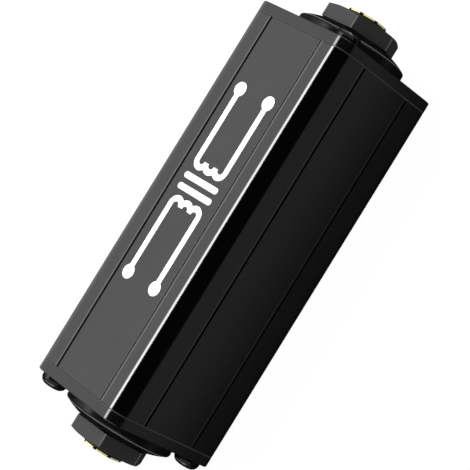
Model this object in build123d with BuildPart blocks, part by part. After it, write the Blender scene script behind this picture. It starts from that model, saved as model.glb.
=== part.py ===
"""In-line ground loop isolator: an extruded box with a 6.35 mm socket in each end.

The long axis is X, the ink-marked face is up, and the origin is the middle of the
face that the box stands on. Each end is built outwards from its own end plane,
whose local x runs across the box, local y runs up and normal runs out of the socket.
All lengths are millimetres.
"""

import os
from math import cos, hypot, radians

from build123d import *

# Housing, an extruded box
housing_length = 75.4
housing_width = 25.2
housing_height = 29.4
housing_wall = 2.0
edge_radius = 2.75
inner_edge_radius_least = 0.35

# Grooves, a narrow slot with a sloped outer lip, two on every face
groove_offset = 6.85
groove_width = 0.25
groove_depth = 0.3
groove_lip_width = 0.3
groove_lip_depth = 0.12

# End caps
cap_thickness = 2.3
cap_rim_radius = 0.25
cap_seam_chamfer = 0.15

# End cap screws and the ports that they cut into
screw_inset = 3.5
screw_length = 8.0
screw_diameter = 2.5
screw_head_diameter = 5.2
screw_head_height = 1.9
screw_crown_diameter = 2.6
screw_crown_radius = 1.45
screw_rim_height = 0.55
screw_tip_taper = 0.6
screw_slot_width = 0.7
screw_slot_length = 2.6
screw_slot_depth = 0.9
port_wall = 0.9
port_mouth = 1.3

# Socket: plug path and gold ferrule
plug_bore_diameter = 6.5
plug_depth = 30.8
ferrule_wall = 0.85
ferrule_reach = 7.4
ferrule_seat = 7.0
ferrule_rim_radius = 0.3
notch_count = 8
notch_width = 0.6
notch_depth = 0.55
notch_back_wall = 0.3
notch_start_angle = 22.5

# Socket: moulded body and threaded bush
bush_wall = 0.61
bush_reach = 5.9
bush_chamfer = 0.25
body_corner_radius = 1.2
body_back_wall = 1.8
body_bore_clearance = 0.25

# Socket: nut and domed washer
nut_sides = 6
nut_flats = 14.0
nut_thickness = 3.0
nut_edge_radius = 0.3
nut_chamfer = 0.35
nut_turns = {"input": 23.0, "output": 30.5}
washer_seat_height = 3.3
washer_rim_height = 1.7
washer_crown = 0.17
washer_rim_radius = 0.55
washer_screw_gap = 0.63
washer_side_margin = 1.0

# Socket: contact strips, whose contacts are set back from the blind end of the plug's path
strip_thickness = 0.4
strip_width = 3.0
strip_bend_radius = 0.5
contact_bite = 0.8
contact_flare = 1.6
contact_lift = 0.8
shelf_wall = 0.71
shelf_cover = 1.05
shelf_length = 3.6
tip_contact_setback = 3.3
ring_contact_setback = 8.8
tip_shelf_gap = 0.6
leg_width = 1.2
leg_stick_out = 1.0
sleeve_overlap = 2.6
sleeve_reach = 3.6
sleeve_jog = 0.8

# Circuit board and its guide slots in the housing
board_thickness = 1.6
board_end_gap = 0.3
board_headroom = 0.2
guide_depth = 1.2
guide_rib = 1.0
notch_end_gap = 0.3
leg_hole_clearance = 0.17

# Transformer: laminated core
core_stack = 8.6
core_limb = 4.4
core_yoke = 2.2
core_side_limb = 2.2
core_window_height = 7.6
core_lift = 0.3

# Transformer: bobbin, windings, pins and clamp
bobbin_wall = 0.7
bobbin_flange = 0.8
bobbin_corner_radius = 0.6
primary_thickness = 0.8
secondary_thickness = 0.6
tape_thickness = 0.12
winding_room = 0.24
pin_diameter = 0.7
pin_pitch = 3.8
pin_rows = 3
pin_cover = 0.9
clamp_thickness = 0.4
clamp_width = 6.0
clamp_tab_width = 3.0
clamp_tab_reach = 0.2

# Clearances
screw_clearance = 0.05
cap_hole_clearance = 0.15
ferrule_clearance = 0.04
strip_clearance = 0.2
strip_slot_clearance = 0.06
guide_clearance = 0.1
bobbin_clearance = 0.1
layer_gap = 0.03
pin_clearance = 0.03
clamp_clearance = 0.08

# Sizes that follow from the ones above
axis_height = housing_height / 2
end_distance = housing_length / 2 + cap_thickness
inner_width = housing_width - 2 * housing_wall
inner_height = housing_height - 2 * housing_wall
screw_across = housing_width / 2 - screw_inset
screw_up = housing_height / 2 - screw_inset
screw_corners = [(-screw_across, screw_up), (screw_across, -screw_up)]
port_bore_radius = screw_diameter / 2 + screw_clearance
plug_bore_radius = plug_bore_diameter / 2
ferrule_radius = plug_bore_radius + ferrule_wall
ferrule_seat_radius = ferrule_radius + ferrule_clearance
bush_radius = ferrule_seat_radius + bush_wall
bush_hole_radius = bush_radius + cap_hole_clearance
nut_corner_radius = nut_flats / 2 / cos(radians(180 / nut_sides))
washer_radius = min(
    hypot(screw_across, screw_up) - screw_head_diameter / 2 - washer_screw_gap,
    min(housing_width, housing_height) / 2 - washer_side_margin,
)
shelf_radius = ferrule_seat_radius + shelf_wall
strip_seat_radius = shelf_radius + strip_thickness / 2
contact_radius = plug_bore_radius - contact_bite
channel_width = strip_width + 2 * strip_clearance
body_half = shelf_radius + strip_thickness + shelf_cover
body_bore_radius = plug_bore_radius + body_bore_clearance
body_bore_end = plug_depth - ferrule_reach
body_depth = body_bore_end + body_back_wall
board_top = axis_height - body_half - board_headroom
board_bottom = board_top - board_thickness
board_width = inner_width - 2 * guide_clearance
board_length = housing_length - 2 * board_end_gap
tongue_width = 2 * (screw_across - port_bore_radius - port_wall - guide_clearance)
tongue_start = end_distance - screw_length - notch_end_gap
leg_drop = axis_height - board_bottom + leg_stick_out
leg_hole_radius = hypot(leg_width, strip_thickness) / 2 + leg_hole_clearance
core_bottom = board_top + core_lift
window_bottom = core_bottom + core_yoke
window_top = window_bottom + core_window_height
core_top = window_top + core_yoke
tube_growth = bobbin_clearance + bobbin_wall
primary_growth = tube_growth + layer_gap
tape_growth = primary_growth + primary_thickness + layer_gap
secondary_growth = tape_growth + tape_thickness + layer_gap
wrap_growth = secondary_growth + secondary_thickness + layer_gap
window_width = wrap_growth + tape_thickness + winding_room
core_width = core_limb + 2 * (window_width + core_side_limb)
flange_growth = window_width - bobbin_clearance
flange_low = window_bottom + bobbin_clearance
flange_high = window_top - bobbin_clearance
winding_low = flange_low + bobbin_flange + layer_gap
winding_high = flange_high - bobbin_flange - layer_gap
pin_block_start = core_stack / 2 + bobbin_clearance
pin_block_end = core_stack / 2 + flange_growth
pin_row = (pin_block_start + pin_block_end) / 2
pin_top = flange_low + bobbin_flange - pin_cover
pin_points = [((row - (pin_rows - 1) / 2) * pin_pitch, side * pin_row)
              for side in (-1, 1) for row in range(pin_rows)]
clamp_inner_half = core_width / 2 + clamp_clearance
clamp_outer_half = clamp_inner_half + clamp_thickness
tab_row = (clamp_inner_half + clamp_outer_half) / 2
tab_places = [(-tab_row, 0), (tab_row, 0)]

# Places of the strips along the socket's axis, from the cap's face: start, bend, contact, free end
tip_start = -(ferrule_seat + tip_shelf_gap)
tip_contact = tip_contact_setback - body_bore_end
tip_stations = (tip_start, tip_start - shelf_length, tip_contact, tip_contact - contact_flare)
ring_start = -body_bore_end
ring_contact = ring_contact_setback - body_bore_end
ring_stations = (ring_start, ring_start + shelf_length, ring_contact, ring_contact + contact_flare)
sleeve_leg = -(ferrule_seat + sleeve_reach - strip_thickness / 2)

# Side of the socket, stations, direction along the axis and leg of each side strip
side_strips = {
    "tip": (-1, tip_stations, -1, tip_start - shelf_length / 2),
    "ring": (1, ring_stations, 1, ring_start + shelf_length / 2),
}

# Each end plane lies on its cap's outer face, centred on the long axis
end_planes = {
    "input": Plane(origin=(-end_distance, 0, axis_height), x_dir=(0, -1, 0), z_dir=(-1, 0, 0)),
    "output": Plane(origin=(end_distance, 0, axis_height), x_dir=(0, 1, 0), z_dir=(1, 0, 0)),
}


def upright_plane(end):
    """Plane through a socket's axis: x runs outwards, y runs up."""
    return Plane(origin=end.origin, x_dir=end.z_dir, z_dir=-end.x_dir)


def level_plane(end):
    """Plane through a socket's axis: x runs outwards, y runs across."""
    return Plane(origin=end.origin, x_dir=end.z_dir, z_dir=(0, 0, 1))


def board_point(end, outward, across):
    """Point on the board under a place given in a socket's own directions."""
    point = end.origin + end.z_dir * outward + end.x_dir * across
    return (point.X, point.Y)


def save(piece, name):
    """Label a finished piece and write it to its own file."""
    piece.label = name
    export_step(piece, f"parts/{name}.step")


# Housing

def groove_outline(side):
    """Section of one groove in a face that lies on the local x axis, outside up."""
    near = groove_offset - groove_width / 2
    far = groove_offset + groove_width / 2
    lip = far + groove_lip_width
    return [
        (side * near, groove_depth),
        (side * near, -groove_depth),
        (side * far, -groove_depth),
        (side * far, -groove_lip_depth),
        (side * lip, 0),
        (side * lip, groove_depth),
    ]


def make_housing():
    """Extruded box with screw ports in its corners and, on the lower ones, guide slots for the board."""
    half_width = housing_width / 2
    half_height = housing_height / 2
    guide_reach = inner_width / 2 - guide_depth
    guide_top = board_top + guide_clearance + guide_rib
    port_low = axis_height - screw_up
    inner_radius = max(edge_radius - housing_wall, inner_edge_radius_least)
    face_places = [(0, half_height, 0), (-half_width, 0, 90), (0, -half_height, 180), (half_width, 0, 270)]
    with BuildPart() as housing:
        with BuildSketch(Plane.YZ.offset(-housing_length / 2)):
            with Locations((0, axis_height)):
                RectangleRounded(housing_width, housing_height, edge_radius)
                RectangleRounded(inner_width, inner_height, inner_radius, mode=Mode.SUBTRACT)
            for side in (-1, 1):
                rib_centre = side * (guide_reach + inner_width / 2) / 2
                with Locations((rib_centre, port_low)):
                    Rectangle(guide_depth, guide_top - port_low, align=(Align.CENTER, Align.MIN))
            with Locations((0, axis_height)):
                with GridLocations(2 * screw_across, 2 * screw_up, 2, 2):
                    Circle(port_bore_radius + port_wall)
                    Circle(port_bore_radius, mode=Mode.SUBTRACT)
            for side in (-1, 1):
                for rise in (-1, 1):
                    mouth = port_bore_radius + port_wall
                    with Locations((side * (screw_across - mouth / 2), axis_height + rise * screw_up)):
                        Rectangle(mouth, port_mouth, mode=Mode.SUBTRACT)
            with Locations((0, (board_top + board_bottom) / 2)):
                Rectangle(inner_width, board_thickness + 2 * guide_clearance, mode=Mode.SUBTRACT)
            for across, rise, turn in face_places:
                with Locations(Location((across, axis_height + rise, 0), (0, 0, turn))):
                    for side in (-1, 1):
                        Polygon(*groove_outline(side), mode=Mode.SUBTRACT)
        extrude(amount=housing_length)
    return housing.part


# End caps and their screws

def make_end_cap(end):
    """Flat cap with a rounded rim, a hole for the bush and two screw holes."""
    with BuildPart() as cap:
        with BuildSketch(end):
            RectangleRounded(housing_width, housing_height, edge_radius)
        extrude(amount=-cap_thickness)
        outer_rim = cap.faces().sort_by(Axis(end.origin, end.z_dir))[-1].edges()
        fillet(outer_rim, radius=cap_rim_radius)
        seam = cap.faces().sort_by(Axis(end.origin, end.z_dir))[0].edges()
        chamfer(seam, length=cap_seam_chamfer)
        with BuildSketch(end):
            Circle(bush_hole_radius)
            with Locations(*screw_corners):
                Circle(screw_diameter / 2 + cap_hole_clearance)
        extrude(amount=-cap_thickness, mode=Mode.SUBTRACT)
    return cap.part


def make_screws():
    """Four pan-head screws, seated on the caps and held in the housing's ports."""
    head_radius = screw_head_diameter / 2
    with BuildPart() as screws:
        for end in end_planes.values():
            for across, up in screw_corners:
                centre = end.origin + end.x_dir * across + end.y_dir * up
                upright = Plane(origin=centre, x_dir=end.z_dir, z_dir=-end.x_dir)
                with BuildSketch(upright):
                    with BuildLine():
                        Polyline(
                            (screw_head_height, 0),
                            (-screw_length, 0),
                            (-screw_length, screw_diameter / 2 - screw_tip_taper),
                            (-screw_length + screw_tip_taper, screw_diameter / 2),
                            (0, screw_diameter / 2),
                            (0, head_radius),
                            (screw_rim_height, head_radius),
                        )
                        RadiusArc(
                            (screw_rim_height, head_radius),
                            (screw_head_height, screw_crown_diameter / 2),
                            screw_crown_radius,
                        )
                        Line((screw_head_height, screw_crown_diameter / 2), (screw_head_height, 0))
                    make_face()
                revolve(axis=Axis(centre, end.z_dir))
                top = Plane(origin=centre + end.z_dir * screw_head_height, x_dir=end.x_dir, z_dir=end.z_dir)
                with BuildSketch(top):
                    Rectangle(screw_slot_length, screw_slot_width)
                    Rectangle(screw_slot_width, screw_slot_length)
                extrude(amount=-screw_slot_depth, mode=Mode.SUBTRACT)
    return screws.part


# Socket fittings

def make_ferrule(end):
    """Plain gold sleeve with a rounded rim, whose outside is notched where it stands out of the nut."""
    notch_radius = plug_bore_radius + notch_back_wall
    with BuildPart() as ferrule:
        with BuildSketch(end.offset(ferrule_reach)):
            Circle(ferrule_radius)
            Circle(plug_bore_radius, mode=Mode.SUBTRACT)
        extrude(amount=-(ferrule_reach + ferrule_seat))
        rim = ferrule.faces().sort_by(Axis(end.origin, end.z_dir))[-1].edges()
        fillet(rim, radius=ferrule_rim_radius)
        with BuildSketch(end.offset(ferrule_reach)):
            with PolarLocations(notch_radius, notch_count, notch_start_angle):
                Rectangle(ferrule_wall, notch_width, align=(Align.MIN, Align.CENTER))
        extrude(amount=-notch_depth, mode=Mode.SUBTRACT)
    return ferrule.part


def make_nut(end, turn):
    """Hexagonal nut whose outer corners are turned to a shallow cone."""
    top = washer_seat_height + nut_thickness
    corner_drop = top - (nut_corner_radius - nut_flats / 2) * nut_chamfer
    with BuildPart() as nut:
        with BuildSketch(end.offset(washer_seat_height)):
            RegularPolygon(nut_corner_radius, nut_sides, rotation=turn + 180 / nut_sides)
        extrude(amount=nut_thickness)
        corners = nut.edges().filter_by(Axis(end.origin, end.z_dir))
        fillet(corners, radius=nut_edge_radius)
        with BuildSketch(upright_plane(end)):
            with BuildLine():
                Polyline(
                    (washer_seat_height, 0),
                    (washer_seat_height, nut_corner_radius),
                    (corner_drop, nut_corner_radius),
                    (top, nut_flats / 2),
                    (top, 0),
                    close=True,
                )
            make_face()
        revolve(axis=Axis(end.origin, end.z_dir), mode=Mode.INTERSECT)
        with BuildSketch(end.offset(washer_seat_height)):
            Circle(bush_hole_radius)
        extrude(amount=nut_thickness, mode=Mode.SUBTRACT)
    return nut.part


def make_washer(end):
    """Wide washer that rises in a low dome from its rim to the seat under the nut."""
    seat = nut_flats / 2
    mid_radius = (seat + washer_radius) / 2
    mid_height = (washer_seat_height + washer_rim_height) / 2 + washer_crown
    with BuildPart() as washer:
        with BuildSketch(upright_plane(end)) as section:
            with BuildLine():
                Polyline(
                    (washer_rim_height, washer_radius),
                    (0, washer_radius),
                    (0, bush_hole_radius),
                    (washer_seat_height, bush_hole_radius),
                    (washer_seat_height, seat),
                )
                ThreePointArc(
                    (washer_seat_height, seat),
                    (mid_height, mid_radius),
                    (washer_rim_height, washer_radius),
                )
            make_face()
            rim = section.vertices().sort_by_distance((washer_rim_height, washer_radius))[0]
            fillet(rim, radius=washer_rim_radius)
        revolve(axis=Axis(end.origin, end.z_dir))
    return washer.part


# Socket body and contacts

def make_socket_body(end):
    """Moulded body with its bush, blind plug bore and open channels for three strips."""
    sleeve_front = -(ferrule_seat - sleeve_overlap - strip_clearance)
    sleeve_back = sleeve_leg - strip_thickness / 2 - strip_slot_clearance
    with BuildPart() as body:
        with BuildSketch(end.offset(-cap_thickness)):
            RectangleRounded(2 * body_half, 2 * body_half, body_corner_radius)
        extrude(amount=-(body_depth - cap_thickness))
        with BuildSketch(end.offset(-cap_thickness)):
            Circle(bush_radius)
        extrude(amount=cap_thickness + bush_reach)
        mouth = body.faces().sort_by(Axis(end.origin, end.z_dir))[-1].edges()
        chamfer(mouth, length=bush_chamfer)
        with BuildSketch(end.offset(bush_reach)):
            Circle(ferrule_seat_radius)
        extrude(amount=-(bush_reach + ferrule_seat), mode=Mode.SUBTRACT)
        with BuildSketch(end.offset(-ferrule_seat)):
            Circle(body_bore_radius)
        extrude(amount=-(body_bore_end - ferrule_seat), mode=Mode.SUBTRACT)
        for side, (start, bend, _, tail), way, leg in side_strips.values():
            shelf = upright_plane(end).offset(-side * shelf_radius)
            far = tail + way * strip_clearance
            for near, depth in ((start, body_half - shelf_radius), (bend, -shelf_radius)):
                near -= way * strip_clearance
                with BuildSketch(shelf):
                    with Locations(((near + far) / 2, 0)):
                        Rectangle(abs(far - near), channel_width)
                extrude(amount=-side * depth, mode=Mode.SUBTRACT)
            with BuildSketch(shelf):
                with Locations((leg, -body_half / 2)):
                    Rectangle(leg_width + 2 * strip_clearance, body_half)
            extrude(amount=-side * (body_half - shelf_radius), mode=Mode.SUBTRACT)
        with BuildSketch(end.offset(sleeve_front)):
            with Locations((0, -body_half / 2)):
                Rectangle(channel_width, body_half)
        extrude(amount=sleeve_back - sleeve_front, mode=Mode.SUBTRACT)
    return body.part


def make_side_strip(end, side, stations, leg):
    """Sprung strip: flat on its shelf, bent in to the plug, with a leg to the board."""
    start, bend, contact, tail = stations
    seat = side * strip_seat_radius
    touch = side * (contact_radius + strip_thickness / 2)
    with BuildPart() as strip:
        with BuildSketch(level_plane(end)):
            with BuildLine():
                FilletPolyline(
                    (start, seat),
                    (bend, seat),
                    (contact, touch),
                    (tail, touch + side * contact_lift),
                    radius=strip_bend_radius,
                )
            trace(line_width=strip_thickness)
        extrude(amount=strip_width / 2, both=True)
        with BuildSketch(upright_plane(end).offset(-side * shelf_radius)):
            with Locations((leg, -leg_drop / 2)):
                Rectangle(leg_width, leg_drop)
        extrude(amount=-side * strip_thickness)
    return strip.part


def make_sleeve_terminal(end):
    """Strip that lies under the ferrule's back end and turns down into the board."""
    touch = -(ferrule_radius + strip_thickness / 2)
    low = touch - sleeve_jog
    front = -(ferrule_seat - sleeve_overlap)
    step = -(ferrule_seat + strip_thickness)
    with BuildPart() as terminal:
        with BuildSketch(upright_plane(end)):
            with BuildLine():
                Polyline(
                    (front, touch),
                    (step, touch),
                    (step - sleeve_jog, low),
                    (sleeve_leg, low),
                )
            trace(line_width=strip_thickness)
        extrude(amount=strip_width / 2, both=True)
        with BuildSketch(upright_plane(end)):
            with Locations((sleeve_leg, (low + strip_thickness / 2 - leg_drop) / 2)):
                Rectangle(strip_thickness, leg_drop + low + strip_thickness / 2)
        extrude(amount=leg_width / 2, both=True)
    return terminal.part


# Circuit board

def make_board():
    """Board drilled for every leg and pin, with a narrower tongue between the screws at each end."""
    leg_places = []
    for end in end_planes.values():
        leg_places.append(board_point(end, sleeve_leg, 0))
        for side, _, _, leg in side_strips.values():
            leg_places.append(board_point(end, leg, side * strip_seat_radius))
    with BuildPart() as board:
        with BuildSketch(Plane.XY.offset(board_bottom)):
            Rectangle(board_length, tongue_width)
            Rectangle(2 * tongue_start, board_width)
            with Locations(*leg_places):
                Circle(leg_hole_radius, mode=Mode.SUBTRACT)
            with Locations(*pin_points):
                Circle(pin_diameter / 2 + pin_clearance, mode=Mode.SUBTRACT)
            with Locations(*tab_places):
                Rectangle(
                    clamp_thickness + 2 * clamp_clearance,
                    clamp_tab_width + 2 * clamp_clearance,
                    mode=Mode.SUBTRACT,
                )
        extrude(amount=board_thickness)
    return board.part


# Transformer

def make_e_stack():
    """Stack of E plates with three limbs that point up."""
    window_centre = core_limb / 2 + window_width / 2
    with BuildPart() as e_stack:
        with BuildSketch(Plane.XZ.offset(-core_stack / 2)):
            with Locations((0, core_bottom)):
                Rectangle(core_width, window_top - core_bottom, align=(Align.CENTER, Align.MIN))
            with Locations((-window_centre, window_bottom), (window_centre, window_bottom)):
                Rectangle(window_width, core_window_height, align=(Align.CENTER, Align.MIN),
                          mode=Mode.SUBTRACT)
        extrude(amount=core_stack)
    return e_stack.part


def make_i_stack():
    """Stack of I plates across the ends of the three limbs."""
    with BuildPart() as i_stack:
        with BuildSketch(Plane.XY.offset(window_top)):
            Rectangle(core_width, core_stack)
        extrude(amount=core_yoke)
    return i_stack.part


def limb_outline(growth, mode=Mode.ADD):
    """Rounded outline that lies the same distance outside the middle limb all round."""
    radius = bobbin_corner_radius + growth - tube_growth
    RectangleRounded(core_limb + 2 * growth, core_stack + 2 * growth, radius, mode=mode)


def make_bobbin():
    """Moulded bobbin: tube, two flanges and a pin block at each side of the core."""
    block_width = (pin_rows - 1) * pin_pitch + 2 * pin_diameter + 2 * bobbin_wall
    block_length = pin_block_end - pin_block_start
    with BuildPart() as bobbin:
        with BuildSketch(Plane.XY.offset(flange_low)):
            limb_outline(tube_growth)
        extrude(amount=flange_high - flange_low)
        for low in (flange_low, flange_high - bobbin_flange):
            with BuildSketch(Plane.XY.offset(low)):
                Rectangle(core_limb + 2 * flange_growth, core_stack + 2 * flange_growth)
            extrude(amount=bobbin_flange)
        with BuildSketch(Plane.XY.offset(board_top)):
            with Locations((0, -pin_row), (0, pin_row)):
                Rectangle(block_width, block_length)
        extrude(amount=flange_low + bobbin_flange - board_top)
        with BuildSketch(Plane.XY.offset(flange_low)):
            Rectangle(core_limb + 2 * bobbin_clearance, core_stack + 2 * bobbin_clearance)
        extrude(amount=flange_high - flange_low, mode=Mode.SUBTRACT)
        with BuildSketch(Plane.XY.offset(board_top)):
            with Locations(*pin_points):
                Circle(pin_diameter / 2 + pin_clearance)
        extrude(amount=pin_top - board_top, mode=Mode.SUBTRACT)
    return bobbin.part


def make_layer(growth, thickness):
    """One closed layer wound on the bobbin, such as a winding or a tape."""
    with BuildPart() as layer:
        with BuildSketch(Plane.XY.offset(winding_low)):
            limb_outline(growth + thickness)
            limb_outline(growth, mode=Mode.SUBTRACT)
        extrude(amount=winding_high - winding_low)
    return layer.part


def make_pins():
    """Terminal pins, pressed into the bobbin and through the board."""
    pin_low = board_bottom - leg_stick_out
    with BuildPart() as pins:
        with BuildSketch(Plane.XY.offset(pin_low)):
            with Locations(*pin_points):
                Circle(pin_diameter / 2)
        extrude(amount=pin_top - pin_low)
    return pins.part


def make_clamp():
    """Steel strap over the core, with a tab through the board at each side."""
    clamp_top = core_top + clamp_clearance + clamp_thickness
    with BuildPart() as clamp:
        with BuildSketch(Plane.XZ.offset(-clamp_width / 2)):
            with Locations((0, board_top)):
                Rectangle(2 * clamp_outer_half, clamp_top - board_top, align=(Align.CENTER, Align.MIN))
                Rectangle(2 * clamp_inner_half, core_top + clamp_clearance - board_top,
                          align=(Align.CENTER, Align.MIN), mode=Mode.SUBTRACT)
        extrude(amount=clamp_width)
        with BuildSketch(Plane.XY.offset(board_bottom - clamp_tab_reach)):
            with Locations(*tab_places):
                Rectangle(clamp_thickness, clamp_tab_width)
        extrude(amount=board_thickness + clamp_tab_reach)
    return clamp.part


# Whole isolator

os.makedirs("parts", exist_ok=True)

save(make_housing(), "housing")
save(make_screws(), "end_cap_screws")
for end_name, end_plane in end_planes.items():
    save(make_end_cap(end_plane), f"{end_name}_end_cap")
    save(make_washer(end_plane), f"{end_name}_jack_washer")
    save(make_nut(end_plane, nut_turns[end_name]), f"{end_name}_jack_nut")
    save(make_ferrule(end_plane), f"{end_name}_jack_ferrule")
    save(make_socket_body(end_plane), f"{end_name}_jack_body")
    for strip_name, (strip_side, strip_stations, _, strip_leg) in side_strips.items():
        strip = make_side_strip(end_plane, strip_side, strip_stations, strip_leg)
        save(strip, f"{end_name}_{strip_name}_spring")
    save(make_sleeve_terminal(end_plane), f"{end_name}_sleeve_terminal")
save(make_board(), "circuit_board")
save(make_e_stack(), "core_e_stack")
save(make_i_stack(), "core_i_stack")
save(make_bobbin(), "transformer_bobbin")
save(make_layer(primary_growth, primary_thickness), "primary_winding")
save(make_layer(tape_growth, tape_thickness), "layer_tape")
save(make_layer(secondary_growth, secondary_thickness), "secondary_winding")
save(make_layer(wrap_growth, tape_thickness), "outer_tape")
save(make_pins(), "transformer_pins")
save(make_clamp(), "core_clamp")
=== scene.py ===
"""Looks of an in-line ground loop isolator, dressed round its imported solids.

The long axis is X, the printed face is up and the box stands on z = 0, all in metres.
Angles of the lights are degrees from straight up, positive towards the camera's side.
"""

import logging
import math
from dataclasses import dataclass, field
from enum import Enum
from functools import cache

import bmesh
import bpy
import numpy as np
from mathutils import Matrix, Vector


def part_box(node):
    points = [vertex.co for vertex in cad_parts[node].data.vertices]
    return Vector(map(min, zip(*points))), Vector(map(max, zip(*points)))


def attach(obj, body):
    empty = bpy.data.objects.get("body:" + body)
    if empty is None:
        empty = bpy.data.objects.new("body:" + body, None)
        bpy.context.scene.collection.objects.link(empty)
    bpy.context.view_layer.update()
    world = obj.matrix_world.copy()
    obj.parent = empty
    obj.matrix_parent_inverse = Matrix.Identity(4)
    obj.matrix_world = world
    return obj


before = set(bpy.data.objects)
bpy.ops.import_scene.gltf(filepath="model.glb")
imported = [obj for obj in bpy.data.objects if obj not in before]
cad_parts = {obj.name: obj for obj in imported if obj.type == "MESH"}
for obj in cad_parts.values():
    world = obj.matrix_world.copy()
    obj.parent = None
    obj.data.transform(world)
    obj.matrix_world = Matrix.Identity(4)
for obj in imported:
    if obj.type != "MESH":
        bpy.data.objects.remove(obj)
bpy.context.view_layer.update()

MM = 0.001
FULL_TURN = 2.0 * math.pi
LENGTHWAYS = 0.9  # least share of a direction along X at which a light counts as facing an end
log = logging.getLogger("isolator")

Colour = tuple[float, float, float]
Turn = tuple[float, float, float]
Pair = tuple[float, float]
Output = bpy.types.NodeSocket
Value = bpy.types.NodeSocket | float
Outputs = bpy.types.NodeOutputs


# Shader graphs


class Graph:
    """Thin helper that adds and joins the nodes of one shader tree."""

    def __init__(self, tree: bpy.types.NodeTree) -> None:
        """Keeps the tree that the nodes go into."""
        self.tree = tree

    @classmethod
    def opened(cls, owner: bpy.types.Material | bpy.types.World) -> "Graph":
        """Opens the emptied shader tree of a material or a world.

        Args:
            owner: the material or world.

        Returns:
            The tree's graph.
        """
        owner.use_nodes = True
        owner.node_tree.nodes.clear()
        return cls(owner.node_tree)

    def add(self, kind: str, inputs: dict | None = None, **settings: object) -> bpy.types.Node:
        """Adds a node.

        Args:
            kind: Blender's name of the node type.
            inputs: values or source sockets by the input's name or number.
            settings: properties of the node, such as operation.

        Returns:
            The new node.
        """
        node = self.tree.nodes.new(kind)
        for name, value in settings.items():
            setattr(node, name, value)
        for name, value in (inputs or {}).items():
            if isinstance(value, Output):
                self.join(value, node.inputs[name])
            else:
                node.inputs[name].default_value = value
        return node

    def join(self, source: Output, target: Output) -> None:
        """Joins an output to an input, in place of whatever was joined to it before."""
        self.tree.links.new(source, target)

    def group(self, tree: bpy.types.NodeTree, inputs: dict) -> Outputs:
        """Places a shared effect and returns its outputs."""
        return self.add("ShaderNodeGroup", inputs, node_tree=tree).outputs

    def math(self, operation: str, *values: Value) -> Output:
        """Adds one Math node on numbers or sockets and returns its output."""
        return self.add("ShaderNodeMath", dict(enumerate(values)), operation=operation).outputs[0]

    def away(self, value: Value, centre: Value) -> Output:
        """Returns how far a value lies from a centre, on whichever side of it."""
        return self.math("ABSOLUTE", self.math("SUBTRACT", value, centre))

    def split(self, vector: Output) -> Outputs:
        """Returns a vector's X, Y and Z."""
        return self.add("ShaderNodeSeparateXYZ", {"Vector": vector}).outputs

    def ramp(self, value: Value, low: float, high: float, start: float, end: float) -> Output:
        """Maps a value smoothly from one range to another and holds it beyond the ends.

        Args:
            value: the value.
            low: where its range starts.
            high: where its range ends.
            start: the result at the range's start.
            end: the result at its end.

        Returns:
            The result.
        """
        inputs = {"Value": value, "From Min": low, "From Max": high, "To Min": start, "To Max": end}
        return self.add("ShaderNodeMapRange", inputs, interpolation_type="SMOOTHSTEP").outputs["Result"]

    def blend(self, share: Value, first: Output, second: Colour) -> Output:
        """Mixes a second colour into a first by a share and returns the colour."""
        inputs = {0: share, 6: first, 7: (*second, 1.0)}
        return self.add("ShaderNodeMix", inputs, data_type="RGBA").outputs[2]

    def noise(self, place: Output, scale: Value, detail: float) -> Output:
        """Adds fractal noise at a place and returns its value from 0 to 1."""
        inputs = {"Vector": place, "Scale": scale, "Detail": detail}
        return self.add("ShaderNodeTexNoise", inputs).outputs["Fac"]

    def tone(self, noise: Output, strength: Value) -> Output:
        """Returns 1 plus a strength times how far a noise's value is above its middle."""
        return self.math("MULTIPLY_ADD", self.math("SUBTRACT", noise, 0.5), strength, 1.0)


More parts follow.
